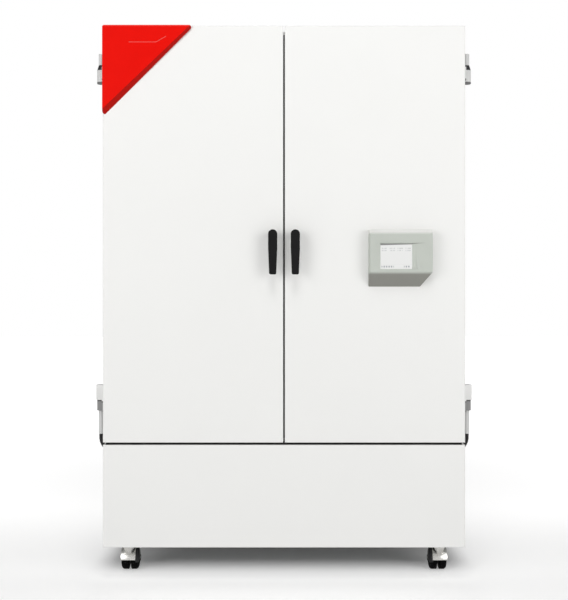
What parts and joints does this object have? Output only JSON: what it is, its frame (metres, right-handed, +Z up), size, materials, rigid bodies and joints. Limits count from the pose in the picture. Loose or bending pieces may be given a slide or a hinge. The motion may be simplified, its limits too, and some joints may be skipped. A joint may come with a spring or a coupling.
{
  "type": "environmental test chamber",
  "caption": "White constant-climate chamber on castors: hinged outer doors with lever handles and a touch controller, glass inner doors, racks, air circulation and a cooling base.",
  "frame": {"origin": "on the floor under the middle of the whole object", "axes": "+X to the viewer's right, the front faces -Y, +Z up"},
  "size_m": [1.318, 0.984, 1.925],
  "materials": {
    "white_paint": "powder coat, fine texture",
    "grey_paint": "satin",
    "black_paint": "satin",
    "stainless": "ground",
    "zinc": "bright zinc plated",
    "hinge_metal": "powder coated casting",
    "aluminium": "rolled fins",
    "foam": "rigid foam",
    "red_plastic": "moulded, glossy",
    "black_plastic": "moulded, fine texture",
    "grey_plastic": "moulded, fine texture",
    "screen": "lit display under a clear cover",
    "seal_rubber": "soft profile",
    "silicone": "soft, pale grey",
    "wheel_rubber": "hard tread",
    "glass": "clear, tempered",
    "brass": "nickel-free, turned"
  },
  "bodies": {
    "cabinet": {"insulation": "foam", "side_panel_left": "white_paint", "side_panel_right": "white_paint", "roof_panel": "white_paint", "rear_panel": "white_paint", "base_frame": "grey_paint", "base_front_panel": "white_paint", "base_rear_grille": "white_paint", "chamber_liner": "stainless", "side_baffles": "stainless", "rear_baffle": "stainless", "fan_motor": "aluminium", "heater_rods": "stainless", "evaporator": "aluminium", "shelf_rails": "stainless", "racks": "stainless", "compressor": "black_paint", "condenser": "aluminium", "humidifier": "stainless", "electrics_box": "grey_paint", "service_panel": "black_plastic", "rear_fittings": "brass", "access_port": "grey_plastic", "castor_plates": "zinc", "hinge_brackets": "hinge_metal", "cable_boots": "seal_rubber", "glass_gasket": "silicone"},
    "left_door": {"left_door_skin": "white_paint", "left_door_foam": "foam", "left_door_liner": "stainless", "left_door_gasket": "seal_rubber", "left_door_hinges": "hinge_metal", "corner_cap": "red_plastic"},
    "right_door": {"right_door_skin": "white_paint", "right_door_foam": "foam", "right_door_liner": "stainless", "right_door_gasket": "seal_rubber", "right_door_hinges": "hinge_metal", "controller_housing": "grey_plastic", "controller_display": "screen"},
    "left_handle": {"left_handle": "black_plastic"},
    "right_handle": {"right_handle": "black_plastic"},
    "left_glass_door": {"left_glass_pane": "glass", "left_glass_fittings": "stainless"},
    "right_glass_door": {"right_glass_pane": "glass", "right_glass_fittings": "stainless"},
    "circulation_fan": {"circulation_fan": "aluminium"},
    "condenser_fan": {"condenser_fan": "black_plastic"},
    "main_switch": {"main_switch": "black_plastic"},
    "port_plug": {"port_plug": "silicone"},
    "castor_fork_front_left": {"castor_fork_front_left": "zinc"},
    "castor_wheels_front_left": {"castor_wheels_front_left": "wheel_rubber"},
    "castor_brake_front_left": {"castor_brake_front_left": "black_paint"},
    "castor_fork_front_right": {"castor_fork_front_right": "zinc"},
    "castor_wheels_front_right": {"castor_wheels_front_right": "wheel_rubber"},
    "castor_brake_front_right": {"castor_brake_front_right": "black_paint"},
    "castor_fork_rear_left": {"castor_fork_rear_left": "zinc"},
    "castor_wheels_rear_left": {"castor_wheels_rear_left": "wheel_rubber"},
    "castor_fork_rear_right": {"castor_fork_rear_right": "zinc"},
    "castor_wheels_rear_right": {"castor_wheels_rear_right": "wheel_rubber"}
  },
  "joints": [
    {"name": "left_door_hinge", "type": "hinge", "parent": "cabinet", "child": "left_door", "pos_m": [-0.645, -0.368, 1.2], "axis": [0, 0, -1], "range_deg": [0, 120]},
    {"name": "left_handle_turn", "type": "hinge", "parent": "left_door", "child": "left_handle", "pos_m": [-0.0385, -0.44, 1.202], "axis": [0, 1, 0], "range_deg": [0, 90]},
    {"name": "left_glass_hinge", "type": "hinge", "parent": "cabinet", "child": "left_glass_door", "pos_m": [-0.536, -0.352, 1.2], "axis": [0, 0, -1], "range_deg": [0, 90]},
    {"name": "right_door_hinge", "type": "hinge", "parent": "cabinet", "child": "right_door", "pos_m": [0.645, -0.368, 1.2], "axis": [0, 0, 1], "range_deg": [0, 120]},
    {"name": "right_handle_turn", "type": "hinge", "parent": "right_door", "child": "right_handle", "pos_m": [0.0385, -0.44, 1.202], "axis": [0, -1, 0], "range_deg": [0, 90]},
    {"name": "right_glass_hinge", "type": "hinge", "parent": "cabinet", "child": "right_glass_door", "pos_m": [0.536, -0.352, 1.2], "axis": [0, 0, 1], "range_deg": [0, 90]},
    {"name": "circulation_fan_spin", "type": "hinge", "parent": "cabinet", "child": "circulation_fan", "pos_m": [0, 0.3, 1.38], "axis": [0, 1, 0], "continuous": true},
    {"name": "condenser_fan_spin", "type": "hinge", "parent": "cabinet", "child": "condenser_fan", "pos_m": [0.29, 0.34, 0.302], "axis": [0, 1, 0], "continuous": true},
    {"name": "main_switch_tilt", "type": "hinge", "parent": "cabinet", "child": "main_switch", "pos_m": [0.6165, 0.29, 0.352], "axis": [0, -1, 0], "range_deg": [0, 20]},
    {"name": "port_plug_pull", "type": "slide", "parent": "cabinet", "child": "port_plug", "axis": [-1, 0, 0], "range_m": [0, 0.05]},
    {"name": "castor_swivel_front_left", "type": "hinge", "parent": "cabinet", "child": "castor_fork_front_left", "pos_m": [-0.558, -0.29, 0.1], "axis": [0, 0, 1], "continuous": true},
    {"name": "castor_roll_front_left", "type": "hinge", "parent": "castor_fork_front_left", "child": "castor_wheels_front_left", "pos_m": [-0.558, -0.26, 0.04], "axis": [1, 0, 0], "continuous": true},
    {"name": "castor_brake_front_left", "type": "hinge", "parent": "castor_fork_front_left", "child": "castor_brake_front_left", "pos_m": [-0.558, -0.26, 0.04], "axis": [1, 0, 0], "range_deg": [0, 20]},
    {"name": "castor_swivel_front_right", "type": "hinge", "parent": "cabinet", "child": "castor_fork_front_right", "pos_m": [0.558, -0.29, 0.1], "axis": [0, 0, 1], "continuous": true},
    {"name": "castor_roll_front_right", "type": "hinge", "parent": "castor_fork_front_right", "child": "castor_wheels_front_right", "pos_m": [0.558, -0.26, 0.04], "axis": [1, 0, 0], "continuous": true},
    {"name": "castor_brake_front_right", "type": "hinge", "parent": "castor_fork_front_right", "child": "castor_brake_front_right", "pos_m": [0.558, -0.26, 0.04], "axis": [1, 0, 0], "range_deg": [0, 20]},
    {"name": "castor_swivel_rear_left", "type": "hinge", "parent": "cabinet", "child": "castor_fork_rear_left", "pos_m": [-0.558, 0.3, 0.1], "axis": [0, 0, 1], "continuous": true},
    {"name": "castor_roll_rear_left", "type": "hinge", "parent": "castor_fork_rear_left", "child": "castor_wheels_rear_left", "pos_m": [-0.558, 0.33, 0.04], "axis": [1, 0, 0], "continuous": true},
    {"name": "castor_swivel_rear_right", "type": "hinge", "parent": "cabinet", "child": "castor_fork_rear_right", "pos_m": [0.558, 0.3, 0.1], "axis": [0, 0, 1], "continuous": true},
    {"name": "castor_roll_rear_right", "type": "hinge", "parent": "castor_fork_rear_right", "child": "castor_wheels_rear_right", "pos_m": [0.558, 0.33, 0.04], "axis": [1, 0, 0], "continuous": true}
  ],
  "couplings": [
    {"joint": "left_glass_hinge", "follows": "left_door_hinge", "ratio": 0.75},
    {"joint": "right_glass_hinge", "follows": "right_door_hinge", "ratio": 0.75}
  ]
}
